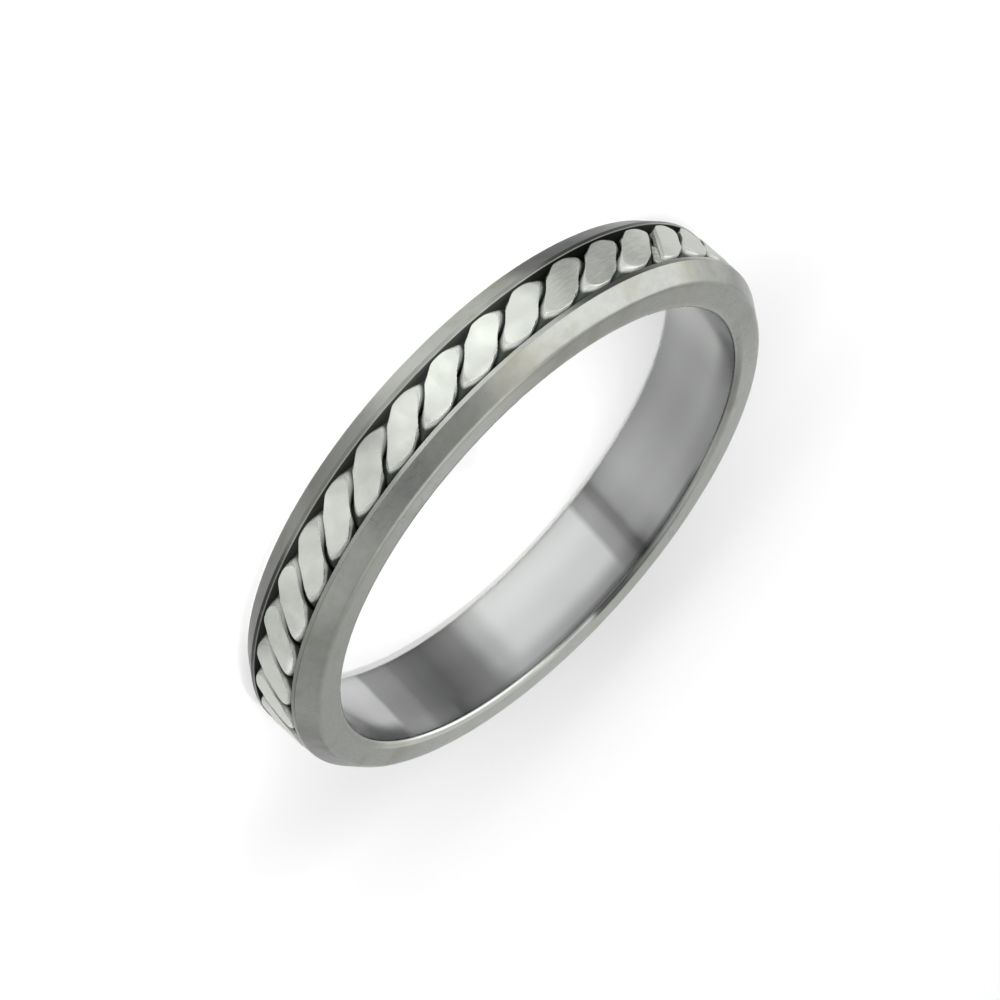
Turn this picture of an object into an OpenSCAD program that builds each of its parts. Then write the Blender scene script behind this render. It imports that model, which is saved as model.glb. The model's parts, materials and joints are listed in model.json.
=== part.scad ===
// Finger ring: a metal band with two raised rails and a channel between them,
// and a rope of two twisted silver wires pressed flat into the channel.
// The band's axis is +Z and the ring lies on its side on the plane z = 0.

/* [Band] */
// Inside diameter of the band
bore_d = 18.4; // [14:0.1:23]
// Width of the band along the finger
band_w = 3.45; // [3:0.05:6]
// Wall from the bore to the tops of the rails
wall_t = 1.56; // [1.45:0.01:2.2]
// Width of each rail, from the side of the band to the channel
rail_w = 0.84; // [0.75:0.01:1.1]
// Flat land on top of each rail, beside the channel
land_w = 0.16; // [0.1:0.01:0.3]
// Slope of each bevel, in degrees off the band's axis
bevel_angle = 35; // [20:1:40]
// Radius of the shoulder between each bevel and the side of the band
shoulder_r = 0.23; // [0.1:0.01:0.4]
// Radius of the bore's two edges
bore_edge_r = 0.17; // [0.1:0.01:0.35]
// Depth of the channel below the tops of the rails
channel_depth = 1; // [0.8:0.01:1.1]

/* [Rope] */
// Length of rope that takes one full turn of the twist, at mid height
rope_lay = 3.6; // [2.8:0.02:6]
// Height of the pressed backs above the tops of the rails
rope_proud = 0.03; // [0:0.01:0.1]
// Gap between the rope and the walls and floor of the channel
rope_gap = 0.06; // [0.05:0.01:0.12]
// Gap between the two strands
strand_gap = 0.12; // [0.08:0.01:0.16]
// Height of a strand's round back that the pressing takes away
pressed_h = 0.28; // [0.1:0.01:0.4]
// Twist that the rope lacks at the seam and has too much of across from it, in degrees
twist_lag = 16; // [0:1:30]

/* [Seam] */
// Place of the soldered seam round the band
seam_angle = -152.2; // [-180:0.1:180]
// Slant of the seam, in degrees off the rope's run
seam_slant = 48; // [35:1:60]
// Width of the slot that the seam leaves
seam_w = 0.28; // [0.15:0.01:0.4]
// Depth of the open part of the slot, below the tops of the rails
slot_depth = 0.65; // [0.3:0.01:0.75]
// Depth of the solder that fills the rest of the slot, below the tops of the rails
solder_depth = 0.12; // [0.05:0.01:0.25]
// Distance along the slot from the rope's middle line to the start of the solder
solder_start = 0.2; // [0:0.05:0.4]

/* [Hidden] */
$fn = 96;

// Sides of a strand's section, and the distance along the rope between sections
strand_sides = 12;
section_step = 0.3;
// Higher powers make a strand's section squarer and lower ones rounder
section_power = 3.6;
// Shares of the rope's half width and half height where the strands' middles run
centre_share = [0.54, 0.36];
// Half width of a strand that lies on top, as a share of the rope's half width
spread_share = 0.96;

bore_r = bore_d / 2;
rail_r = bore_r + wall_t;
channel_r = rail_r - channel_depth;
channel_w = band_w - 2 * rail_w;

// The bevel starts at the land and is tangent to the shoulder's arc
bevel_z = rail_w - land_w;
shoulder_x = rail_r + (sin(bevel_angle) * (shoulder_r - bevel_z) - shoulder_r) / cos(bevel_angle);
bevel_end = [shoulder_x + shoulder_r * cos(bevel_angle), shoulder_r * (1 - sin(bevel_angle))];

// Half of the rope's section: x across the band, y outward from its middle radius
rope_half = [channel_w / 2 - rope_gap, (channel_depth + rope_proud - rope_gap) / 2];
rope_r = channel_r + rope_gap + rope_half.y;
rope_turns = max(6, round(2 * PI * rope_r / rope_lay));
turn_sections = max(8, round(rope_lay / section_step));
round_half_h = rope_half.y + pressed_h;
spread_w = spread_share * rope_half.x;

// Long enough for the slot to leave the rope on both sides
slot_l = 3 * channel_w;

function total(list) = list * [for (value = list) 1];
function limit(value, most) = max(-most, min(most, value));

// Lines that bound a strand's section when it has twisted by angle a, each as the
// line's outward direction and its distance from the rope's middle: the two channel
// walls, the unpressed backs, the other strand, and the strand's own two edges.
function strand_bounds(a) = [
    [1, 0, rope_half.x],
    [-1, 0, rope_half.x],
    [0, 1, round_half_h],
    [0, -1, round_half_h],
    [-sin(a), -cos(a), -strand_gap / 2],
    [cos(a), -sin(a), spread_w],
    [-cos(a), sin(a), spread_w]
];

// Distance from the strand's middle to its skin in one direction. It is the smooth
// least distance to the bounding lines, so their corners come out round.
function strand_reach(a, middle, way) = pow(total([
    for (line = strand_bounds(a))
        pow(max(0, line.x * way.x + line.y * way.y)
            / (line.z - line.x * middle.x - line.y * middle.y), section_power)
]), -1 / section_power);

// Points of the section at twist angle a, pressed flat on the outside and the inside
function strand_section(a) = [
    let (middle = [centre_share.x * rope_half.x * sin(a), centre_share.y * rope_half.y * cos(a)])
    for (i = [0 : strand_sides - 1])
        let (
            way = [sin(360 * i / strand_sides), cos(360 * i / strand_sides)],
            point = middle + strand_reach(a, middle, way) * way
        )
        [point.x, limit(point.y, rope_half.y)]
];

// One strand as a closed loop of sections. At the seam the strands lie nearly side by side.
module strand(first_angle) {
    count = rope_turns * turn_sections;
    points = [
        for (j = [0 : count - 1])
            let (
                from_seam = 360 * j / count,
                round_angle = seam_angle + from_seam,
                twist = first_angle + rope_turns * from_seam - twist_lag * cos(from_seam)
            )
            for (point = strand_section(twist))
                let (r = rope_r + point.y)
                [r * cos(round_angle), r * sin(round_angle), band_w / 2 + point.x]
    ];
    faces = [
        for (j = [0 : count - 1], i = [0 : strand_sides - 1])
            let (
                next_j = (j + 1) % count,
                next_i = (i + 1) % strand_sides,
                a = j * strand_sides + i,
                b = j * strand_sides + next_i,
                c = next_j * strand_sides + next_i,
                d = next_j * strand_sides + i
            )
            for (face = [[a, b, c], [a, c, d]])
                face
    ];
    difference() {
        polyhedron(points, faces);
        seam_slot();
    }
}

// Slot between the rope's two ends: open in the lower part of the channel, and
// filled with solder almost to the top in the upper part.
module seam_slot() {
    rotate([0, 0, seam_angle])
        translate([rail_r, 0, band_w / 2])
            rotate([seam_slant - 90, 0, 0]) {
                translate([-solder_depth, -seam_w / 2, -slot_l / 2])
                    cube([channel_depth, seam_w, slot_l]);
                translate([-slot_depth, -seam_w / 2, -slot_l / 2])
                    cube([channel_depth, seam_w, slot_l / 2 + solder_start]);
            }
}

// Corners of the band's section from the bore to the floor of the channel, on the side
// of the band that lies at z = 0
side_points = [
    [bore_r, bore_edge_r],
    [bore_r + bore_edge_r, 0],
    [shoulder_x, 0],
    bevel_end,
    [rail_r, bevel_z],
    [rail_r, rail_w],
    [channel_r, rail_w]
];

// The same corners on the other side, in the order that goes on round the section
other_side_points = [
    for (i = [len(side_points) - 1 : -1 : 0])
        [side_points[i].x, band_w - side_points[i].y]
];

// Band's section, with round corners at the bore's edges and at the shoulders
module band_section() {
    polygon(concat(side_points, other_side_points));
    for (z = [shoulder_r, band_w - shoulder_r])
        translate([shoulder_x, z])
            circle(shoulder_r);
    for (z = [bore_edge_r, band_w - bore_edge_r])
        translate([bore_r + bore_edge_r, z])
            circle(bore_edge_r);
}

module band() {
    color("#8f918d")
        rotate_extrude()
            band_section();
}

module rope_strand_1() {
    color("#cdd2ce")
        strand(95);
}

module rope_strand_2() {
    color("#c3c8c4")
        strand(275);
}

band();
rope_strand_1();
rope_strand_2();
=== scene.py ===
"""Looks of a finger ring: a satin grey band with two rails, and a rope of two silver wires that is
pressed flat into the blackened channel between them. Shapes are worked out in millimetres as whole
arrays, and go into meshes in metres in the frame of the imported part: the bore's axis is +Z and the
ring lies on its side on the plane z = 0."""

import json
import math

import bmesh
import bpy
import numpy as np
from mathutils import Matrix, Vector


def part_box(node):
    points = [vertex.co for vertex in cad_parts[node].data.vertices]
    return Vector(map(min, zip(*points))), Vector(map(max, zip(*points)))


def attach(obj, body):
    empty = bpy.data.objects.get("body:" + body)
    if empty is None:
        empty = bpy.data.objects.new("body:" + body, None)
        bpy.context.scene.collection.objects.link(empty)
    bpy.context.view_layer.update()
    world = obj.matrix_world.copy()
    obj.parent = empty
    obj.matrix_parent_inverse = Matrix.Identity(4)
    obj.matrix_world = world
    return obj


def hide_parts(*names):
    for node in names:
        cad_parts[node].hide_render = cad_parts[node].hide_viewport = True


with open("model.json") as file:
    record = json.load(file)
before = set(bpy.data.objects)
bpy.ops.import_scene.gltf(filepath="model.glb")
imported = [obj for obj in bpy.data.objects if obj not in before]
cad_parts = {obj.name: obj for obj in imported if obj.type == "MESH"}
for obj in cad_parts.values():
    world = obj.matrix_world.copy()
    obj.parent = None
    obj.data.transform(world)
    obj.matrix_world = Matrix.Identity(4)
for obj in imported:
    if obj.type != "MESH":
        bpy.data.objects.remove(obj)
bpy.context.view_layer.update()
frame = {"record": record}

# Metres in a millimetre
MM = 0.001

# Sizes of the band in millimetres and radians
band_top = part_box("band")[1]
BAND_W = band_top.z / MM
RAIL_R = band_top.x / MM
BORE_R = frame["record"]["mounts"][0]["dims"]["r_mm"]
RAIL_W = 0.84
LAND_W = 0.16
BEVEL_ANGLE = math.radians(35)
SHOULDER_R = 0.23
BORE_EDGE_R = 0.17
BEVEL_TOP_R = 0.05
RAIL_LIP_R = 0.025
CHANNEL_FOOT_R = 0.08
CHANNEL_DEPTH = 1.0
CHANNEL_R = RAIL_R - CHANNEL_DEPTH
CHANNEL_W = BAND_W - 2 * RAIL_W
MID_Z = BAND_W / 2

# How finely the band is divided: points of an arc, longest edge of the section, steps of the turn
ARC_POINTS = 9
LONGEST_EDGE = 0.25
BAND_STEPS = 720

# Sizes of the rope in millimetres and radians. A strand's middle and its reach to either edge are
# shares of the rope's half width and half height.
ROPE_TURNS = 18
STRAND_STARTS = (math.radians(95), math.radians(275))
TWIST_LAG = math.radians(16)
ROPE_PROUD = 0.03
ROPE_GAP = 0.06
STRAND_GAP = 0.07
PRESSED_H = 0.28
HALF_ACROSS = CHANNEL_W / 2 - ROPE_GAP
HALF_HEIGHT = (CHANNEL_DEPTH + ROPE_PROUD - ROPE_GAP) / 2
ROPE_R = CHANNEL_R + ROPE_GAP + HALF_HEIGHT
BACKS_R = ROPE_R + HALF_HEIGHT
SECTION_POWER = 3.0
CENTRE_SHARE = (0.54, 0.36)
SPREAD_SHARE = 0.96
FLAT_EDGE = 0.028
RINGS_A_TURN = 76
STRAND_SIDES = 64

# How uneven the pressed backs are: the spreads of their two slopes and of their height
TILT_ACROSS = 0.004
TILT_ALONG = 0.005
BACK_LIFT = 0.001

# The soldered seam, in millimetres and radians
SEAM_ANGLE = math.radians(-152.2)
SEAM_SLANT = math.radians(48)
SEAM_W = 0.28
SLOT_DEPTH = 0.65
SOLDER_DEPTH = 0.12
SOLDER_START = 0.2
SEAM_CHAMFER = 0.04
SEAM_SLOPE_W = 0.14
SEAM_SLOPE_DEPTH = 0.06
CUTTER_HEADROOM = 0.2
WIRE_CREASE = math.radians(38)
SLIVER = 0.0005

# The lump of solder in millimetres and radians. Its section is a circle squared by a power, its
# ends close by another power of the share of its length, and their tips are a share of its section.
SOLDER_RINGS = 120
SOLDER_SIDES = 72
SOLDER_HALF_W = SEAM_W / 2 + 0.01
SOLDER_HALF_H = 0.1
SOLDER_SUNK = 0.025
SOLDER_END_GAP = 0.03
SOLDER_SQUARING = 0.45
SOLDER_END_POWER = 12
SOLDER_TIP = 0.02
SOLDER_RIDGES = 3
SOLDER_RIDGE_H = 0.012
SOLDER_SWAY = 0.9
SOLDER_SWAY_A_MM = 9
SOLDER_GRAIN_H = 0.006
SOLDER_SEED = 5
SOLDER_CREASE = math.radians(60)


def add_object(name, data):
    """An object of the data, in the scene."""
    item = bpy.data.objects.new(name, data)
    bpy.context.scene.collection.objects.link(item)
    return item


def new_piece(name, vertices, faces, material):
    """A mesh object at the origin from vertices in millimetres, smooth shaded."""
    mesh = bpy.data.meshes.new(name)
    mesh.from_pydata((vertices * MM).tolist(), [], faces)
    mesh.polygons.foreach_set("use_smooth", np.ones(len(mesh.polygons), dtype=bool))
    mesh.update()
    mesh.validate()
    mesh.materials.append(material)
    return add_object(name, mesh)


def ring_faces(rings, sides):
    """Quads of a grid of rings by sides that closes on itself both ways, facing outwards."""
    ring, side = np.meshgrid(np.arange(rings), np.arange(sides), indexing="ij")
    next_ring = (ring + 1) % rings
    next_side = (side + 1) % sides
    corners = [ring * sides + side, next_ring * sides + side,
               next_ring * sides + next_side, ring * sides + next_side]
    return np.stack(corners, axis=-1).reshape(-1, 4).tolist()


def turned(radius, height, angle):
    """Points at radius and height, turned about +Z by angle. All three arrays have one shape."""
    return np.stack([radius * np.cos(angle), radius * np.sin(angle), height], axis=-1)


def filleted(corners, arc_points):
    """Closed outline whose corners are rounded. A corner (r, z, radius) is replaced by an arc of
    that radius, tangent to both of its edges, as arc_points points at even angles."""
    outline = []
    points = np.array([corner[:2] for corner in corners], dtype=float)
    for i, (r, z, radius) in enumerate(corners):
        here = points[i]
        to_last = points[i - 1] - here
        to_next = points[(i + 1) % len(points)] - here
        to_last /= np.linalg.norm(to_last)
        to_next /= np.linalg.norm(to_next)
        half_angle = math.acos(np.clip(to_last @ to_next, -1, 1)) / 2
        middle = to_last + to_next
        middle /= np.linalg.norm(middle)
        centre = here + middle * radius / math.sin(half_angle)
        start = here + to_last * radius / math.tan(half_angle) - centre
        end = here + to_next * radius / math.tan(half_angle) - centre
        share = np.linspace(0, 1, arc_points)[:, None]
        turn = math.pi - 2 * half_angle
        arc = (np.sin((1 - share) * turn) * start + np.sin(share * turn) * end) / math.sin(turn)
        outline.append(centre + arc)
    return np.concatenate(outline)


def band_outline():
    """Section of the band as radius and height, from the bore's lower edge round to its upper
    edge. The bevel's line meets the flat side where the shoulder's arc replaces the corner."""
    bevel_top = RAIL_W - LAND_W
    bevel_foot_r = RAIL_R - bevel_top * math.tan(BEVEL_ANGLE)
    lower = [
        (BORE_R, 0, BORE_EDGE_R),
        (bevel_foot_r, 0, SHOULDER_R),
        (RAIL_R, bevel_top, BEVEL_TOP_R),
        (RAIL_R, RAIL_W, RAIL_LIP_R),
        (CHANNEL_R, RAIL_W, CHANNEL_FOOT_R),
    ]
    upper = [(r, BAND_W - z, radius) for r, z, radius in reversed(lower)]
    return filleted(lower + upper, ARC_POINTS)


def subdivided(outline, step):
    """The closed outline with points added so that no edge is longer than step."""
    rows = []
    for here, after in zip(outline, np.roll(outline, -1, axis=0)):
        count = max(1, math.ceil(np.linalg.norm(after - here) / step))
        share = np.arange(count)[:, None] / count
        rows.append(here + (after - here) * share)
    return np.concatenate(rows)


def make_band(material):
    """The band's outline turned about the bore's axis in even steps."""
    outline = subdivided(band_outline(), LONGEST_EDGE)
    angle = np.arange(BAND_STEPS) * 2 * math.pi / BAND_STEPS
    shape = (BAND_STEPS, len(outline))
    radius = np.broadcast_to(outline[:, 0], shape)
    height = np.broadcast_to(outline[:, 1], shape)
    points = turned(radius, height, np.broadcast_to(angle[:, None], shape))
    return new_piece("ring_band", points.reshape(-1, 3), ring_faces(*shape), material)


def strand_sections(twist, ways):
    """Sections of a strand at each twist angle, as points across and outward from the rope's
    middle. Seven lines bound a section, each given by its direction and its distance: the
    channel's two walls, the round backs above and below, the other strand, and the strand's two
    edges. Along each way from the strand's middle, the skin lies at the smooth least distance to
    the lines."""
    sin, cos, one, none = np.sin(twist), np.cos(twist), np.ones_like(twist), np.zeros_like(twist)
    bounds = (
        (one, none, HALF_ACROSS),
        (-one, none, HALF_ACROSS),
        (none, one, HALF_HEIGHT + PRESSED_H),
        (none, -one, HALF_HEIGHT + PRESSED_H),
        (-sin, -cos, -STRAND_GAP / 2),
        (cos, -sin, SPREAD_SHARE * HALF_ACROSS),
        (-cos, sin, SPREAD_SHARE * HALF_ACROSS),
    )
    lines = np.stack([np.stack([across, outward, distance * one], -1)
                      for across, outward, distance in bounds], axis=1)
    middle = np.stack([CENTRE_SHARE[0] * HALF_ACROSS * sin, CENTRE_SHARE[1] * HALF_HEIGHT * cos], -1)
    clear = lines[..., 2] - np.einsum("jkc,jc->jk", lines[..., :2], middle)
    facing = np.maximum(0, np.einsum("jkc,sc->jsk", lines[..., :2], ways))
    reach = ((facing / clear[:, None, :]) ** SECTION_POWER).sum(-1) ** (-1 / SECTION_POWER)
    return middle[:, None, :] + reach[..., None] * ways


def make_strand(name, first_twist, seed, material):
    """One wire of the rope as a closed loop of sections. Its twist lags a little at the seam and
    leads across from it. The pressing cuts its back to a plane, at the smooth minimum of the two,
    and the plane tilts a little from one lobe to the next."""
    rings = ROPE_TURNS * RINGS_A_TURN
    from_seam = 2 * math.pi * (np.arange(rings) / rings)
    twist = first_twist + ROPE_TURNS * from_seam - TWIST_LAG * np.cos(from_seam)
    side = np.arange(STRAND_SIDES) * 2 * math.pi / STRAND_SIDES
    section = strand_sections(twist, np.stack([np.sin(side), np.cos(side)], -1))
    across, outward = section[..., 0], section[..., 1]

    random = np.random.default_rng(seed)
    tilt_across = random.normal(0, TILT_ACROSS, ROPE_TURNS)
    tilt_along = random.normal(0, TILT_ALONG, ROPE_TURNS)
    lift = random.normal(0, BACK_LIFT, ROPE_TURNS)
    turns = twist / (2 * math.pi)
    lobe = np.round(turns).astype(int) % ROPE_TURNS
    along = (turns - np.round(turns)) * 2 * math.pi * ROPE_R / ROPE_TURNS
    press = HALF_HEIGHT + lift[lobe] + tilt_along[lobe] * along
    press = press[:, None] + tilt_across[lobe][:, None] * across
    outward = press - FLAT_EDGE * np.logaddexp(0, (press - outward) / FLAT_EDGE)
    outward = np.maximum(outward, -HALF_HEIGHT)

    angle = np.broadcast_to((SEAM_ANGLE + from_seam)[:, None], across.shape)
    points = turned(ROPE_R + outward, MID_Z + across, angle)
    return new_piece(name, points.reshape(-1, 3), ring_faces(rings, STRAND_SIDES), material)


def seam_frame():
    """Place of the seam on the rails' tops, and its directions out, across and along the slot."""
    out = np.array([math.cos(SEAM_ANGLE), math.sin(SEAM_ANGLE), 0.0])
    round_way = np.array([-math.sin(SEAM_ANGLE), math.cos(SEAM_ANGLE), 0.0])
    up = np.array([0.0, 0.0, 1.0])
    along = round_way * math.cos(SEAM_SLANT) + up * math.sin(SEAM_SLANT)
    across = round_way * math.sin(SEAM_SLANT) - up * math.cos(SEAM_SLANT)
    place = out * RAIL_R + up * MID_Z
    return place, out, across, along


def make_seam_cutter(depth, start, end):
    """Bar of the slot's section that runs along the slot from start to end. Its lips flare: one
    is chamfered a little, and the other has a wide slope where the wire's end was filed."""
    place, out, across, along = seam_frame()
    half = SEAM_W / 2
    top = ROPE_PROUD + CUTTER_HEADROOM
    slope_lip = half + SEAM_SLOPE_W * (1 + CUTTER_HEADROOM / SEAM_SLOPE_DEPTH)
    section = np.array([[-half, -depth], [half, -depth], [half, ROPE_PROUD - SEAM_CHAMFER],
                        [half + SEAM_CHAMFER + CUTTER_HEADROOM, top], [-slope_lip, top],
                        [-half, ROPE_PROUD - SEAM_SLOPE_DEPTH]])
    rows = [place + section[:, :1] * across + section[:, 1:] * out + along * run
            for run in (start, end)]
    count = len(section)
    faces = [[i, count + i, count + (i + 1) % count, (i + 1) % count] for i in range(count)]
    faces += [list(range(count)), list(range(2 * count - 1, count - 1, -1))]
    mesh = bpy.data.meshes.new("seam_cutter")
    mesh.from_pydata((np.concatenate(rows) * MM).tolist(), [], faces)
    return add_object("seam_cutter", mesh)


def clear_slivers(mesh):
    """Splits the many-sided faces that a cut leaves, and takes out those with no area."""
    shape = bmesh.new()
    shape.from_mesh(mesh)
    bmesh.ops.triangulate(shape, faces=[face for face in shape.faces if len(face.verts) > 4])
    bmesh.ops.dissolve_degenerate(shape, dist=SLIVER * MM, edges=shape.edges)
    bmesh.ops.triangulate(shape, faces=[face for face in shape.faces if len(face.verts) > 4])
    shape.to_mesh(mesh)
    shape.free()


def cut_seam(strand):
    """Cuts the slot into a strand: deep in the lower part and down to the solder in the upper. The
    cutter runs well past both walls of the channel."""
    reach = 3 * CHANNEL_W / 2
    for depth, start, end in ((SOLDER_DEPTH, -reach, reach), (SLOT_DEPTH, -reach, SOLDER_START)):
        cutter = make_seam_cutter(depth, start, end)
        cut = strand.modifiers.new("seam", "BOOLEAN")
        cut.operation = "DIFFERENCE"
        cut.solver = "EXACT"
        cut.object = cutter
        bpy.context.view_layer.update()
        shape = bpy.data.meshes.new_from_object(
            strand.evaluated_get(bpy.context.evaluated_depsgraph_get()))
        strand.modifiers.clear()
        strand.data = shape
        bpy.data.objects.remove(cutter)
    clear_slivers(strand.data)
    strand.data.set_sharp_from_angle(angle=WIRE_CREASE)


def squared(wave):
    """A sine or cosine drawn out towards its ends, so that a circle becomes a rounded square."""
    return np.sign(wave) * np.abs(wave) ** SOLDER_SQUARING


def make_solder(material):
    """The solder that fills the upper part of the slot: a low bar with ridges along it and a
    grainy skin, whose top follows the rope's. Its foot is sunk into the wires."""
    place, out, across, along = seam_frame()
    end = (CHANNEL_W / 2 - SOLDER_END_GAP) / math.sin(SEAM_SLANT)
    run = np.linspace(SOLDER_START, end, SOLDER_RINGS)[:, None]
    side = (np.arange(SOLDER_SIDES) * 2 * math.pi / SOLDER_SIDES)[None, :]
    share = np.linspace(-1, 1, SOLDER_RINGS)[:, None]
    taper = (1 - share ** SOLDER_END_POWER) ** 0.5 * (1 - SOLDER_TIP) + SOLDER_TIP
    sideways = squared(np.cos(side)) * SOLDER_HALF_W * taper
    upward = squared(np.sin(side)) * SOLDER_HALF_H * taper
    sway = np.sin(run * SOLDER_SWAY_A_MM) * SOLDER_SWAY
    ridges = SOLDER_RIDGE_H * np.cos(sideways / SEAM_W * 2 * math.pi * SOLDER_RIDGES + sway)
    random = np.random.default_rng(SOLDER_SEED)
    grains = random.normal(0, SOLDER_GRAIN_H, (SOLDER_RINGS, SOLDER_SIDES))
    upward = upward + np.where(np.sin(side) > 0, ridges + grains, 0)
    sag = (run * math.cos(SEAM_SLANT)) ** 2 / (2 * RAIL_R)
    height = upward - SOLDER_HALF_H - SOLDER_SUNK - sag
    points = (place + sideways[..., None] * across + height[..., None] * out
              + np.broadcast_to(run, sideways.shape)[..., None] * along)
    last = (SOLDER_RINGS - 1) * SOLDER_SIDES
    faces = ring_faces(SOLDER_RINGS, SOLDER_SIDES)[:last]
    faces += [list(range(SOLDER_SIDES)), list(range(last + SOLDER_SIDES - 1, last - 1, -1))]
    solder = new_piece("solder", points.reshape(-1, 3), faces, material)
    solder.data.set_sharp_from_angle(angle=SOLDER_CREASE)
    return solder


def principled(name):
    """A new material, its node tree and its Principled shader."""
    material = bpy.data.materials.new(name)
    material.use_nodes = True
    return material, material.node_tree, material.node_tree.nodes["Principled BSDF"]


def wire(tree, socket, source):
    """Links a source socket to a node's socket, or sets the socket where the source is a value."""
    if isinstance(source, bpy.types.NodeSocket):
        tree.links.new(source, socket)
    else:
        socket.default_value = source


def calculate(tree, operation, *sources):
    """Output of a Math node."""
    node = tree.nodes.new("ShaderNodeMath")
    node.operation = operation
    for socket, source in zip(node.inputs, sources):
        wire(tree, socket, source)
    return node.outputs[0]


def product(tree, first, *others):
    """Product of two values or more."""
    result = first
    for other in others:
        result = calculate(tree, "MULTIPLY", result, other)
    return result


def ramp(tree, source, low, high, low_value=0.0, high_value=1.0):
    """Smooth step of the source from low to high."""
    node = tree.nodes.new("ShaderNodeMapRange")
    node.interpolation_type = "SMOOTHSTEP"
    for name, value in (("Value", source), ("From Min", low), ("From Max", high),
                        ("To Min", low_value), ("To Max", high_value)):
        wire(tree, node.inputs[name], value)
    return node.outputs["Result"]


def below(tree, source, low, high):
    """Mask that is 1 up to low and fades to 0 at high."""
    return ramp(tree, source, low, high, 1.0, 0.0)


def blend_colours(tree, factor, first, second, blend_type="MIX"):
    """Output colour of a Mix node. Its colours are inputs 6 and 7 and output 2."""
    node = tree.nodes.new("ShaderNodeMix")
    node.data_type = "RGBA"
    node.blend_type = blend_type
    wire(tree, node.inputs[0], factor)
    wire(tree, node.inputs[6], first)
    wire(tree, node.inputs[7], second)
    return node.outputs[2]


def tinted(tree, tone, tint):
    """The tint colour made brighter or darker by a tone."""
    return blend_colours(tree, 1.0, tint, tone, "MULTIPLY")


def noise(tree, place, scale, detail, roughness=0.5):
    """Value of a Noise Texture at a place."""
    node = tree.nodes.new("ShaderNodeTexNoise")
    wire(tree, node.inputs["Vector"], place)
    node.inputs["Scale"].default_value = scale
    node.inputs["Detail"].default_value = detail
    node.inputs["Roughness"].default_value = roughness
    return node.outputs["Fac"]


def vector(tree, *sources):
    """Output of a Combine XYZ node."""
    node = tree.nodes.new("ShaderNodeCombineXYZ")
    for socket, source in zip(node.inputs, sources):
        wire(tree, socket, source)
    return node.outputs[0]


def bump(tree, height, distance):
    """Normal of a Bump node. Distance is in millimetres."""
    node = tree.nodes.new("ShaderNodeBump")
    node.inputs["Strength"].default_value = 1.0
    node.inputs["Distance"].default_value = distance * MM
    wire(tree, node.inputs["Height"], height)
    return node.outputs["Normal"]


def ring_place(tree):
    """Radius and height in millimetres, and the x and y parts of the direction from the axis."""
    here = tree.nodes.new("ShaderNodeTexCoord").outputs["Object"]
    split = tree.nodes.new("ShaderNodeSeparateXYZ")
    wire(tree, split.inputs[0], here)
    x, y, z = (product(tree, split.outputs[i], 1 / MM) for i in range(3))
    radius = calculate(tree, "SQRT", calculate(tree, "ADD", product(tree, x, x), product(tree, y, y)))
    return radius, z, calculate(tree, "DIVIDE", x, radius), calculate(tree, "DIVIDE", y, radius)


def new_group(name, inputs, outputs):
    """An empty node group with number inputs of the given values and number outputs."""
    group = bpy.data.node_groups.new(name, "ShaderNodeTree")
    for socket_name, value in inputs.items():
        socket = group.interface.new_socket(socket_name, in_out="INPUT", socket_type="NodeSocketFloat")
        socket.default_value = value
    for socket_name in outputs:
        group.interface.new_socket(socket_name, in_out="OUTPUT", socket_type="NodeSocketFloat")
    return group, group.nodes.new("NodeGroupInput"), group.nodes.new("NodeGroupOutput")


def use_group(tree, group, **values):
    """A node of the group, with its inputs wired or set. An underscore stands for a space."""
    node = tree.nodes.new("ShaderNodeGroup")
    node.node_tree = group
    for name, value in values.items():
        wire(tree, node.inputs[name.replace("_", " ")], value)
    return node


def tone_of(tree, group):
    """Painted reflection and shade: brightness from one of the groups that make_tone makes."""
    return use_group(tree, group).outputs["Tone"]


def make_brushing():
    """Fine lines that run round the ring. Noise is stretched by a low scale on the direction
    from the axis, and squeezed by a high one on height and radius."""
    group, given, result = new_group("brushing", {"Lines per mm": 20.0, "Lines per turn": 30.0},
                                     ["Lines"])
    per_mm, per_turn = given.outputs["Lines per mm"], given.outputs["Lines per turn"]
    radius, height, east, north = ring_place(group)
    squeezed = calculate(group, "ADD", product(group, height, per_mm), product(group, radius, per_mm))
    place = vector(group, product(group, east, per_turn), product(group, north, per_turn), squeezed)
    wire(group, result.inputs["Lines"], noise(group, place, scale=1.0, detail=3.0, roughness=0.6))
    return group


def make_clouding():
    """Soft cloudy patches of a given size in millimetres, and thin wavy marks like those that a
    drop leaves as it dries. The marks lie where a second noise passes its middle value, and only
    in some places."""
    group, given, result = new_group("clouding", {"Patch mm": 2.0}, ["Clouds", "Marks"])
    scaled = group.nodes.new("ShaderNodeVectorMath")
    scaled.operation = "SCALE"
    wire(group, scaled.inputs[0], group.nodes.new("ShaderNodeTexCoord").outputs["Object"])
    wire(group, scaled.inputs["Scale"], calculate(group, "DIVIDE", 1 / MM, given.outputs["Patch mm"]))
    here = scaled.outputs[0]
    wire(group, result.inputs["Clouds"], noise(group, here, scale=1.0, detail=4.0, roughness=0.55))
    waves = noise(group, here, scale=1.5, detail=3.0, roughness=0.6)
    off_middle = calculate(group, "ABSOLUTE", calculate(group, "SUBTRACT", waves, 0.5))
    line = below(group, off_middle, 0.0, 0.02)
    some_places = ramp(group, noise(group, here, scale=0.45, detail=1.0), 0.5, 0.62)
    wire(group, result.inputs["Marks"], product(group, line, some_places))
    return group


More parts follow.
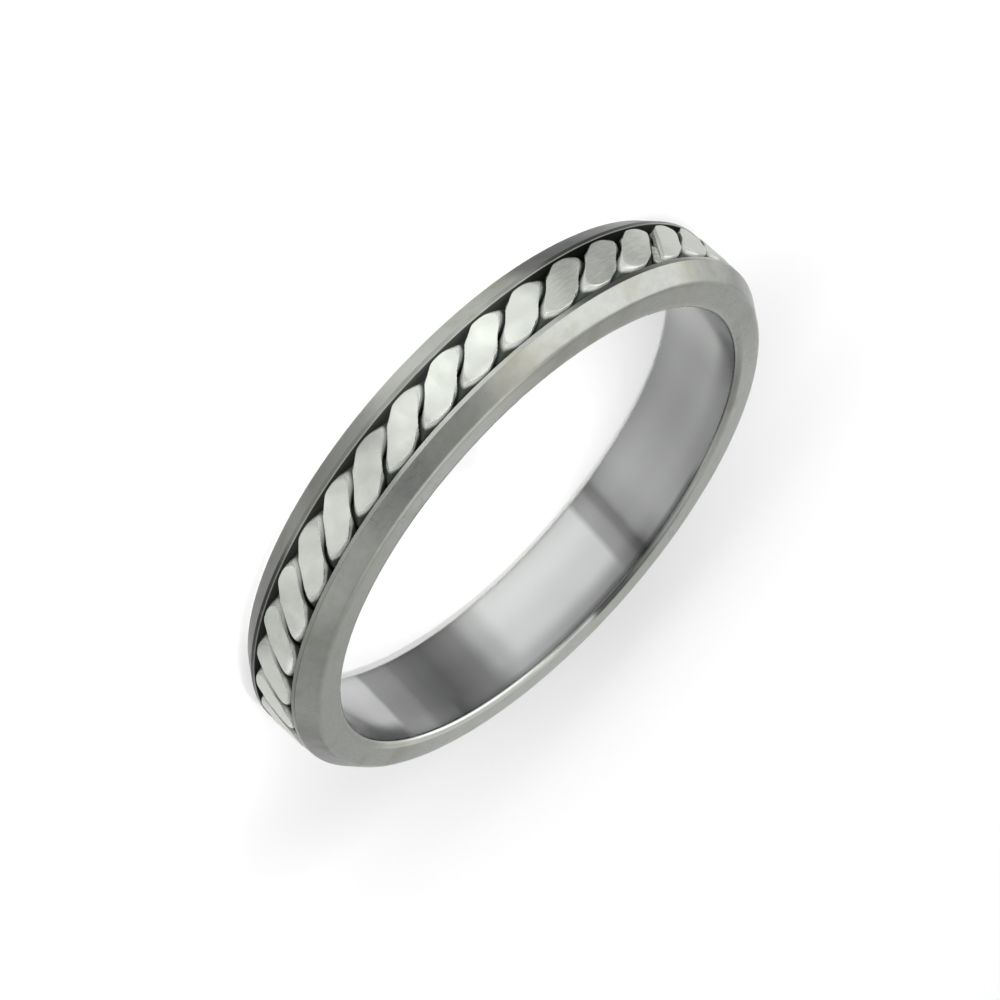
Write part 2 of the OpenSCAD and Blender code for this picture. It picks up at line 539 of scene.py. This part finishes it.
def make_tone(name, bands, wander=0.012, slant=0.0):
    """Painted reflection and shade: how bright a surface is drawn round the ring, in bands of degrees
    from +X and brightness. Their edges wander by a share of a turn, and slant by degrees a millimetre
    of height."""
    group, _, result = new_group(name, {}, ["Tone"])
    _, height, east, north = ring_place(group)
    drift = noise(group, vector(group, east, north, height), scale=1.3, detail=1.0)
    drift = product(group, calculate(group, "SUBTRACT", drift, 0.5), wander)
    drift = calculate(group, "MULTIPLY_ADD", calculate(group, "SUBTRACT", height, MID_Z),
                      slant / 360, drift)
    turn = calculate(group, "DIVIDE", calculate(group, "ARCTAN2", north, east), 2 * math.pi)
    curve = group.nodes.new("ShaderNodeValToRGB")
    curve.color_ramp.interpolation = "EASE"
    wire(group, curve.inputs[0], calculate(group, "FRACT", calculate(group, "ADD", turn, drift)))
    stops = curve.color_ramp.elements
    for i, (degrees, tone) in enumerate(bands):
        stop = stops[i] if i < 2 else stops.new(degrees / 360)
        stop.position = degrees / 360
        stop.color = (tone, tone, tone, 1)
    wire(group, result.inputs["Tone"], curve.outputs["Color"])
    return group


BRUSHING = make_brushing()
CLOUDING = make_clouding()

# Tones of the band's and the rope's faces round the ring. Upper is the side towards
# +Z, and each row holds degrees from +X and brightness.
# Painted reflections in the bore: light and dark bands where it mirrors its surroundings, low down and
# near the upper edge
BORE_PAINTED_REFLECTION = make_tone("bore_painted_reflection", [
    (0, 0.32), (14, 0.42), (24, 0.46), (28, 0.44), (29.5, 0.22), (37.5, 0.2), (39, 0.14),
    (45, 0.105), (49, 0.09), (52, 0.115), (57, 0.15), (63, 0.34), (68, 0.5), (95.5, 0.47),
    (97, 0.26), (100.5, 0.23), (101.5, 0.145), (103, 0.145), (104.5, 0.255), (111, 0.31),
    (130, 0.26), (146, 0.31), (164, 0.46), (170, 0.38), (180, 0.44), (200, 0.47), (225, 0.29),
    (250, 0.53), (290, 0.58), (310, 0.35), (360, 0.32)], wander=0.002, slant=0.7)
BORE_TOP_PAINTED_REFLECTION = make_tone("bore_top_painted_reflection", [
    (0, 0.68), (8, 0.31), (12, 0.19), (22, 0.075), (26, 0.09), (29.5, 0.23), (37, 0.25), (39, 0.16),
    (45, 0.12), (46, 0.08), (48, 0.085), (50, 0.12), (57, 0.17), (66, 0.37), (84, 0.28),
    (95.5, 0.24), (97, 0.19), (100.5, 0.14), (101.5, 0.08), (103, 0.07), (105, 0.2), (112, 0.3),
    (128, 0.22), (144, 0.22), (154, 0.155), (162, 0.21), (172, 0.46), (182, 0.49), (250, 0.49),
    (310, 0.24), (360, 0.68)], wander=0.002, slant=0.7)
# Painted shade that darkens the bore's rounded upper rim, as a factor round the ring
BORE_RIM_PAINTED_SHADE = make_tone("bore_rim_painted_shade", [
    (0, 1), (50, 1), (62, 0.75), (84, 0.62), (98, 0.6), (107, 0.45), (119, 0.45), (126, 1),
    (360, 1)], wander=0.002)
# Painted highlight and shade on the rounded edge between the bore and the flat side
BORE_EDGE_PAINTED_REFLECTION = make_tone("bore_edge_painted_reflection", [
    (0, 0.5), (8, 0.53), (20, 0.85), (28, 1), (70, 1), (76, 0.8), (82, 0.8), (85, 0.15),
    (92, 0.13), (100, 0.28), (110, 0.46), (120, 0.62), (130, 0.6), (150, 0.42), (165, 0.52),
    (180, 0.6), (360, 0.5)], wander=0.004)
# Painted reflection and shade on the flat sides, bevels and lands in these five tables; the lower
# rail's dark stretches are painted shade where it rests on the floor
SIDE_PAINTED_REFLECTION = make_tone("side_painted_reflection", [
    (0, 0.53), (20, 0.57), (48, 0.71), (76, 0.74), (100, 0.64), (115, 0.66), (150, 0.68),
    (172, 0.56), (240, 0.53), (262, 0.73), (276, 0.73), (295, 0.6), (320, 0.53), (360, 0.53)])
UPPER_BEVEL_PAINTED_REFLECTION = make_tone("upper_bevel_painted_reflection", [
    (0, 0.08), (90, 0.3), (165, 0.28), (184, 0.19), (195, 0.52), (206, 0.58), (216, 0.47),
    (236, 0.5), (254, 0.63), (266, 0.4), (280, 0.36), (296, 0.52), (306, 0.51), (316, 0.4),
    (336, 0.41), (350, 0.24), (360, 0.08)])
UPPER_LAND_PAINTED_REFLECTION = make_tone("upper_land_painted_reflection", [
    (0, 0.23), (40, 0.35), (90, 0.2), (140, 0.35), (180, 0.13), (188, 0.17), (197, 0.33),
    (208, 0.13), (222, 0.046), (231, 0.056), (243, 0.35), (256, 0.47), (272, 0.46), (284, 0.25),
    (296, 0.24), (305, 0.2), (315, 0.18), (325, 0.14), (335, 0.12), (345, 0.19), (360, 0.23)])
LOWER_LAND_PAINTED_REFLECTION = make_tone("lower_land_painted_reflection", [
    (0, 0.12), (90, 0.3), (180, 0.06), (200, 0.1), (210, 0.042), (221, 0.03), (230, 0.043),
    (240, 0.21), (250, 0.33), (262, 0.28), (272, 0.26), (281, 0.15), (290, 0.137), (300, 0.16),
    (310, 0.042), (320, 0.023), (330, 0.014), (345, 0.018), (360, 0.12)])
LOWER_BEVEL_PAINTED_REFLECTION = make_tone("lower_bevel_painted_reflection", [
    (0, 0.07), (40, 0.4), (90, 0.23), (140, 0.4), (180, 0.023), (190, 0.028), (200, 0.115),
    (210, 0.05), (221, 0.01), (230, 0.031), (235, 0.08), (241, 0.27), (250, 0.355), (266, 0.415),
    (280, 0.215), (290, 0.17), (300, 0.2), (310, 0.145), (320, 0.11), (330, 0.103), (340, 0.023),
    (360, 0.07)])
# Painted reflection on the rope's pressed backs
ROPE_PAINTED_REFLECTION = make_tone("rope_painted_reflection", [
    (0, 0.55), (90, 0.66), (180, 0.395), (203, 0.42), (212, 0.35), (220, 0.26), (231, 0.27),
    (238, 0.405), (243, 0.55), (253, 0.66), (264, 0.65), (274, 0.55), (284, 0.43), (293, 0.505),
    (303, 0.46), (316, 0.385), (360, 0.55)])

# Colours. Those of steel and silver are tints that a tone makes darker.
STEEL = (0.965, 1.0, 0.94, 1)
# Warm tint of the bright painted reflections on the upper bevel
WARM_REFLECTED_STEEL = (0.99, 1.0, 0.9, 1)
POLISHED_STEEL = (0.985, 1.0, 0.99, 1)
CLEAN = (1.02, 1.02, 1.02, 1)
STAINED = (0.88, 0.86, 0.8, 1)
DRIED_MARK = (0.2, 0.18, 0.15, 1)
BLACKENED = (0.005, 0.007, 0.005, 1)
BRUSHED_SILVER = (0.96, 1.0, 0.92, 1)
POLISHED_SILVER = (0.97, 1.0, 0.94, 1)
FILED_SILVER = (0.2, 0.21, 0.19, 1)
OXIDE = (0.018, 0.021, 0.018, 1)
SOLDER_HOLLOW = (0.26, 0.28, 0.25, 1)
SOLDER_CREST = (0.5, 0.52, 0.47, 1)

# Finishes: how clouds and lines change a tone, how strong marks and filing are, the gloss of what
# is black, the roughness and what each face adds to it, and the relief in millimetres
FAINT = (0.95, 1.04)
MARK_STRENGTH = 0.24
FILED_STRENGTH = 0.7
BLACK_GLOSS = 0.02
OXIDE_GLOSS = 0.15
SATIN_ROUGH = (0.26, 0.36)
BORE_ROUGH = -0.13
CHANNEL_ROUGH = 0.25
WIRE_ROUGH = 0.2
FLAT_ROUGH = 0.16
OXIDE_ROUGH = 0.2
SOLDER_ROUGH = 0.42
STEEL_RELIEF = 0.0015
SILVER_RELIEF = 0.003
SOLDER_RELIEF = 0.01

# Height at which painted shade starts to darken the bore's upper rim
BORE_RIM_SHADE_Z = BAND_W - 0.4


def rail_tones(tree, radius, height, off_middle):
    """Painted reflection and shade of the bevels, the lands, the flat sides and the rounded edge by
    the bore, and the upper bevel's own painted reflection. The lower land has a painted highlight
    where it meets the channel."""
    on_lower = below(tree, height, MID_Z - 0.1, MID_Z + 0.1)
    upper_bevel = tone_of(tree, UPPER_BEVEL_PAINTED_REFLECTION)
    bevel = blend_colours(tree, on_lower, upper_bevel, tone_of(tree, LOWER_BEVEL_PAINTED_REFLECTION))
    # Painted highlight: a lighter line on the lower land by the channel
    painted_land_glint = ramp(tree, height, RAIL_W - 0.06, RAIL_W - 0.01, 0.0, 0.22)
    lower_land = calculate(tree, "ADD", tone_of(tree, LOWER_LAND_PAINTED_REFLECTION), painted_land_glint)
    land = blend_colours(tree, on_lower, tone_of(tree, UPPER_LAND_PAINTED_REFLECTION), lower_land)
    on_land = ramp(tree, radius, RAIL_R - 0.018, RAIL_R - 0.002)
    tone = blend_colours(tree, on_land, bevel, land)
    on_side = calculate(tree, "MAXIMUM", ramp(tree, off_middle, BAND_W / 2 - 0.1, BAND_W / 2 - 0.005),
                        below(tree, radius, BORE_R + 0.2, BORE_R + 0.3))
    tone = blend_colours(tree, on_side, tone, tone_of(tree, SIDE_PAINTED_REFLECTION))
    # Painted highlight and shade on the rounded edge by the bore
    on_upper_edge = product(tree, below(tree, radius, BORE_R + 0.2, BORE_R + 0.32),
                            ramp(tree, height, MID_Z, MID_Z + 0.5))
    return blend_colours(tree, on_upper_edge, tone, tone_of(tree, BORE_EDGE_PAINTED_REFLECTION)), upper_bevel


def rail_steel(tree, tones, clouds, marks, brushing):
    """Colour of the band outside its bore. The bright painted reflections of the upper bevel are
    tinted warm, the strongest clouds are stained, and the marks and the brushing lie over both."""
    tone, upper_bevel = tones
    warm_reflection = product(tree, ramp(tree, upper_bevel, 0.45, 0.6), ramp(tree, tone, 0.45, 0.6))
    steel = tinted(tree, tone, blend_colours(tree, warm_reflection, STEEL, WARM_REFLECTED_STEEL))
    steel = tinted(tree, ramp(tree, clouds, 0.3, 0.7, *FAINT), steel)
    steel = tinted(tree, blend_colours(tree, ramp(tree, clouds, 0.48, 0.72), CLEAN, STAINED), steel)
    steel = blend_colours(tree, product(tree, marks, MARK_STRENGTH), steel, DRIED_MARK)
    return tinted(tree, ramp(tree, brushing, 0.3, 0.7, *FAINT), steel)


def bore_steel(tree, height):
    """Colour of the bore, from one painted reflection low down to another near its upper edge. It is
    painted lighter towards the lower edge, and painted shade darkens the rounded upper edge."""
    tone = blend_colours(tree, ramp(tree, height, BORE_RIM_SHADE_Z - 0.75, BORE_RIM_SHADE_Z),
                         tone_of(tree, BORE_PAINTED_REFLECTION), tone_of(tree, BORE_TOP_PAINTED_REFLECTION))
    # Painted reflection: lighter towards the lower edge
    steel = tinted(tree, ramp(tree, height, 0.5, 1.9, 1.25, 0.97), tinted(tree, tone, POLISHED_STEEL))
    # Painted shade on the rounded upper rim
    rim = tinted(tree, tone_of(tree, BORE_RIM_PAINTED_SHADE), steel)
    return blend_colours(tree, ramp(tree, height, BORE_RIM_SHADE_Z, BORE_RIM_SHADE_Z + 0.2), steel, rim)


def make_band_metal():
    """Satin steel with painted reflection and shade round the ring, clouds, stains and dried marks, a
    brighter polish with painted reflections in the bore, and a black channel."""
    material, tree, shader = principled("band_metal")
    radius, height = ring_place(tree)[:2]
    off_middle = calculate(tree, "ABSOLUTE", calculate(tree, "SUBTRACT", height, MID_Z))
    brushing = use_group(tree, BRUSHING, Lines_per_mm=16.0, Lines_per_turn=26.0).outputs["Lines"]
    clouding = use_group(tree, CLOUDING, Patch_mm=1.6)
    clouds, marks = clouding.outputs["Clouds"], clouding.outputs["Marks"]

    in_bore = below(tree, radius, BORE_R + 0.004, BORE_R + 0.04)
    in_channel = product(tree, below(tree, off_middle, CHANNEL_W / 2 - 0.01, CHANNEL_W / 2 + 0.03),
                         below(tree, radius, RAIL_R - 0.07, RAIL_R - 0.02),
                         calculate(tree, "GREATER_THAN", radius, BORE_R + 0.3))

    steel = rail_steel(tree, rail_tones(tree, radius, height, off_middle), clouds, marks, brushing)
    metal = blend_colours(tree, in_bore, steel, bore_steel(tree, height))
    metal = blend_colours(tree, in_channel, metal, BLACKENED)
    wire(tree, shader.inputs["Base Color"], metal)
    wire(tree, shader.inputs["Metallic"], calculate(tree, "SUBTRACT", 1.0, in_channel))
    shader.inputs["Specular IOR Level"].default_value = BLACK_GLOSS
    rough = ramp(tree, clouds, 0.25, 0.75, *SATIN_ROUGH)
    rough = calculate(tree, "MULTIPLY_ADD", in_bore, BORE_ROUGH, rough)
    rough = calculate(tree, "MULTIPLY_ADD", in_channel, CHANNEL_ROUGH, rough)
    wire(tree, shader.inputs["Roughness"], rough)
    wire(tree, shader.inputs["Normal"], bump(tree, brushing, STEEL_RELIEF))
    return material


def on_seam_slope(tree):
    """Mask of the slope that was filed beside the seam's slot, by the distances in millimetres
    from the seam across the slot and outward. The far side of the ring is left out."""
    place, out, across, _ = seam_frame()
    here = tree.nodes.new("ShaderNodeTexCoord").outputs["Object"]
    distances = []
    for way in (across, out):
        part = tree.nodes.new("ShaderNodeVectorMath")
        part.operation = "DOT_PRODUCT"
        wire(tree, part.inputs[0], here)
        part.inputs[1].default_value = way
        distances.append(calculate(tree, "MULTIPLY_ADD", part.outputs["Value"], 1 / MM,
                                   -float(place @ way)))
    sideways, outward = distances
    lip = -SEAM_W / 2
    slope_end = lip - SEAM_SLOPE_W
    return product(tree, ramp(tree, sideways, slope_end - 0.01, slope_end + 0.02),
                   below(tree, sideways, lip, lip + 0.02),
                   calculate(tree, "GREATER_THAN", outward, -RAIL_R))


def rope_rim_highlight(tree, tone, height):
    """Painted highlight on the lobes' polished rims: the square of the backs' painted reflection low
    down, and a painted highlight of its own that brightens towards the upper rail."""
    painted_low_rim = product(tree, tone, tone, 1.2)
    painted_high_rim = ramp(tree, height, MID_Z + 0.45, MID_Z + 0.85, 0.4, 0.66)
    return blend_colours(tree, ramp(tree, height, MID_Z - 0.8, MID_Z + 0.1), painted_low_rim, painted_high_rim)


def make_rope_silver():
    """Silver with brushed flats and polished rims, that turns black towards the channel's floor. The
    flats carry painted reflection round the ring and the rims a painted highlight. The brushing shows
    most where the painted reflection is dark."""
    material, tree, shader = principled("rope_silver")
    radius, height = ring_place(tree)[:2]
    depth = calculate(tree, "SUBTRACT", BACKS_R, radius)
    streaks = use_group(tree, BRUSHING, Lines_per_mm=22.0, Lines_per_turn=24.0).outputs["Lines"]
    clouds = use_group(tree, CLOUDING, Patch_mm=0.9).outputs["Clouds"]
    on_flat = below(tree, depth, 0.001, 0.011)
    ragged_depth = calculate(tree, "ADD", depth, ramp(tree, clouds, 0.2, 0.8, -0.03, 0.03))
    oxide = ramp(tree, ragged_depth, -0.03, 0.2)

    # Painted reflection on the pressed backs round the ring
    tone = tone_of(tree, ROPE_PAINTED_REFLECTION)
    streak = product(tree, ramp(tree, streaks, 0.25, 0.75, -0.5, 0.5),
                     ramp(tree, tone, 0.3, 0.45, 0.32, 0.05))
    flat_tone = product(tree, tone, calculate(tree, "ADD", 1.0, streak),
                        ramp(tree, clouds, 0.3, 0.8, *FAINT))
    # Painted highlight on the polished rims
    rims = tinted(tree, rope_rim_highlight(tree, tone, height), POLISHED_SILVER)
    silver = blend_colours(tree, on_flat, rims, tinted(tree, flat_tone, BRUSHED_SILVER))
    silver = blend_colours(tree, oxide, silver, OXIDE)
    filed = product(tree, on_seam_slope(tree), FILED_STRENGTH)
    wire(tree, shader.inputs["Base Color"], blend_colours(tree, filed, silver, FILED_SILVER))
    wire(tree, shader.inputs["Metallic"], calculate(tree, "SUBTRACT", 1.0, oxide))
    shader.inputs["Specular IOR Level"].default_value = OXIDE_GLOSS
    rough = calculate(tree, "MULTIPLY_ADD", on_flat, FLAT_ROUGH, WIRE_ROUGH)
    rough = calculate(tree, "MULTIPLY_ADD", oxide, OXIDE_ROUGH, rough)
    wire(tree, shader.inputs["Roughness"], rough)
    wire(tree, shader.inputs["Normal"], bump(tree, product(tree, streaks, on_flat), SILVER_RELIEF))
    return material


def make_solder_metal():
    """Dull grainy silver solder."""
    material, tree, shader = principled("solder_metal")
    clouds = use_group(tree, CLOUDING, Patch_mm=0.12).outputs["Clouds"]
    wire(tree, shader.inputs["Base Color"],
         blend_colours(tree, ramp(tree, clouds, 0.35, 0.65), SOLDER_HOLLOW, SOLDER_CREST))
    shader.inputs["Metallic"].default_value = 1
    shader.inputs["Roughness"].default_value = SOLDER_ROUGH
    wire(tree, shader.inputs["Normal"], bump(tree, clouds, SOLDER_RELIEF))
    return material


# Pieces of the ring
band_metal = make_band_metal()
rope_silver = make_rope_silver()
solder_metal = make_solder_metal()

band = make_band(band_metal)
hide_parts("band")
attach(band, "root")

for number, first_twist in enumerate(STRAND_STARTS, start=1):
    strand = make_strand(f"silver_wire_{number}", first_twist, number, rope_silver)
    cut_seam(strand)
    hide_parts(f"rope_strand_{number}")
    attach(strand, "root")

solder = make_solder(solder_metal)
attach(solder, "root")

# Sizes of the floor and the beams in metres. The floor's grey is the share of light it sends back.
FLOOR_REACH = 2.0
FLOOR_GREY = 0.9
FLOOR_ROUGH = 0.9
BEAM_DISTANCE = 0.35
BEAM_POOL_R = 0.012
BEAM_BLEND = 0.7
BEAM_LAMP_R = 0.005
FAN = (-10, -5, 0, 5, 10)

# How bright the studio is: its walls at the foot and higher up, and what the ceiling and the low
# band on the camera's side add
WALL_GLOW = 0.62
UPPER_WALL_GLOW = 0.43
CEILING_GLOW = 0.35
LOW_BAND_GLOW = 0.6

# The camera's view of the ring, worked out from the ring's edges in the photograph. Its distance
# is in millimetres, and its target is the middle of the ring's upper side.
CAMERA_ELEVATION = math.radians(21.55)
CAMERA_ROLL = math.radians(-131.43)
CAMERA_DISTANCE = 36 * BORE_R
FOCAL_PIXELS = 9897
TARGET_PIXEL = (541.63, 527.46)
PHOTO_SIZE = 1000
SENSOR_W = 36
NEAREST_SEEN = 0.01


def make_floor():
    """Plain pale floor under the ring."""
    mesh = bpy.data.meshes.new("floor")
    mesh.from_pydata([(-FLOOR_REACH, -FLOOR_REACH, 0), (FLOOR_REACH, -FLOOR_REACH, 0),
                      (FLOOR_REACH, FLOOR_REACH, 0), (-FLOOR_REACH, FLOOR_REACH, 0)],
                     [], [(0, 1, 2, 3)])
    paint, _, shader = principled("floor_paint")
    shader.inputs["Base Color"].default_value = (FLOOR_GREY, FLOOR_GREY, FLOOR_GREY, 1)
    shader.inputs["Roughness"].default_value = FLOOR_ROUGH
    mesh.materials.append(paint)
    return add_object("floor", mesh)


def direction(azimuth, elevation):
    """Unit vector at an azimuth from +X and an elevation, both in degrees."""
    a, e = math.radians(azimuth), math.radians(elevation)
    return Vector((math.cos(a) * math.cos(e), math.sin(a) * math.cos(e), math.sin(e)))


def place_light(name, lamp, place, way, glossy):
    """Puts a lamp at a place, with its back to the direction way. Where glossy is False it hides
    from reflections."""
    light = add_object(name, lamp)
    light.location = place
    light.rotation_euler = way.to_track_quat("Z", "Y").to_euler()
    light.visible_glossy = glossy


def softbox(name, azimuth, elevation, distance, width, height, radiance, glossy=True):
    """Area light at azimuth and elevation in degrees, facing the ring. Its power follows from the
    radiance of its face and its size in metres."""
    way = direction(azimuth, elevation)
    lamp = bpy.data.lights.new(name, "AREA")
    lamp.shape = "RECTANGLE"
    lamp.size = width
    lamp.size_y = height
    lamp.energy = radiance * math.pi * width * height
    place_light(name, lamp, way * distance, way, glossy)


def floor_beam(name, azimuth, elevation, radiance, aim_r):
    """Small soft beam that keeps the floor bright at the ring's foot or inside the ring, aimed at
    the floor at aim_r from the axis. Its power follows from the radiance that it adds there."""
    way = direction(azimuth, elevation)
    lamp = bpy.data.lights.new(name, "SPOT")
    lamp.spot_size = 2 * math.atan(BEAM_POOL_R / BEAM_DISTANCE)
    lamp.spot_blend = BEAM_BLEND
    lamp.shadow_soft_size = BEAM_LAMP_R
    irradiance = radiance / FLOOR_GREY * math.pi / math.sin(math.radians(elevation))
    lamp.energy = irradiance * 4 * math.pi * BEAM_DISTANCE ** 2
    place_light(name, lamp, direction(azimuth, 0) * aim_r + way * BEAM_DISTANCE, way, glossy=False)


def studio_world():
    """Pale walls, a brighter ceiling and a bright low band on the camera's side, by the height of
    the direction looked in."""
    world = bpy.data.worlds.new("studio")
    bpy.context.scene.world = world
    world.use_nodes = True
    tree = world.node_tree
    split = tree.nodes.new("ShaderNodeSeparateXYZ")
    wire(tree, split.inputs[0], tree.nodes.new("ShaderNodeTexCoord").outputs["Generated"])
    north, up = split.outputs[1], split.outputs[2]
    glow = ramp(tree, up, 0.15, 0.65, WALL_GLOW, UPPER_WALL_GLOW)
    glow = calculate(tree, "ADD", glow, ramp(tree, up, 0.8, 0.98, 0.0, CEILING_GLOW))
    low_band = ramp(tree, up, 0.1, 0.75, LOW_BAND_GLOW, 0.0)
    camera_side = below(tree, north, -0.25, 0.1)
    glow = calculate(tree, "ADD", glow, product(tree, low_band, camera_side))
    wire(tree, tree.nodes["Background"].inputs["Color"], vector(tree, glow, glow, glow))


def make_camera():
    """Camera whose picture has the target at its pixel, rolled as the photograph is. It is worked
    out in millimetres: first the picture's axes as the camera looks at the target, then the point
    that the picture's middle shows, and the camera is turned to that."""
    target = Vector((0, 0, BAND_W))
    from_target = Vector((0, -math.cos(CAMERA_ELEVATION), math.sin(CAMERA_ELEVATION)))
    place = target + CAMERA_DISTANCE * from_target
    forward = (target - place).normalized()
    level = forward.cross(Vector((0, 0, 1))).normalized()
    upright = level.cross(forward)
    image_right = math.cos(CAMERA_ROLL) * level - math.sin(CAMERA_ROLL) * upright
    image_up = math.sin(CAMERA_ROLL) * level + math.cos(CAMERA_ROLL) * upright
    aim = (target - image_right * (TARGET_PIXEL[0] - PHOTO_SIZE / 2) * CAMERA_DISTANCE / FOCAL_PIXELS
           + image_up * (TARGET_PIXEL[1] - PHOTO_SIZE / 2) * CAMERA_DISTANCE / FOCAL_PIXELS)
    forward = (aim - place).normalized()
    right = (image_right - forward * image_right.dot(forward)).normalized()
    axes = Matrix((right, right.cross(forward), -forward)).transposed()
    lens = bpy.data.cameras.new("camera")
    lens.sensor_width = SENSOR_W
    lens.lens = FOCAL_PIXELS / PHOTO_SIZE * SENSOR_W
    lens.clip_start = NEAREST_SEEN
    camera = add_object("camera", lens)
    camera.matrix_world = Matrix.Translation(place * MM) @ axes.to_4x4()
    return camera


# Floor, light and camera
floor = make_floor()
studio_world()
for number, turn in enumerate(FAN, start=1):
    floor_beam(f"left_beam_{number}", azimuth=-150 + turn, elevation=20, radiance=0.045, aim_r=0.012)
    floor_beam(f"right_beam_{number}", azimuth=-30 + turn, elevation=20, radiance=0.045, aim_r=0.012)
floor_beam("hole_beam", azimuth=55, elevation=85, radiance=0.36, aim_r=0.002)
softbox("left_side", azimuth=182, elevation=30, distance=0.4, width=0.5, height=0.32, radiance=0.9)
softbox("low_left", azimuth=215, elevation=15, distance=0.5, width=0.9, height=0.25, radiance=2.1,
        glossy=False)
softbox("low_front", azimuth=270, elevation=9, distance=0.5, width=0.6, height=0.12, radiance=38,
        glossy=False)
softbox("right_fill", azimuth=0, elevation=30, distance=0.5, width=0.6, height=0.6, radiance=0.35,
        glossy=False)
bpy.context.scene.view_settings.view_transform = "Standard"
bpy.context.scene.camera = make_camera()
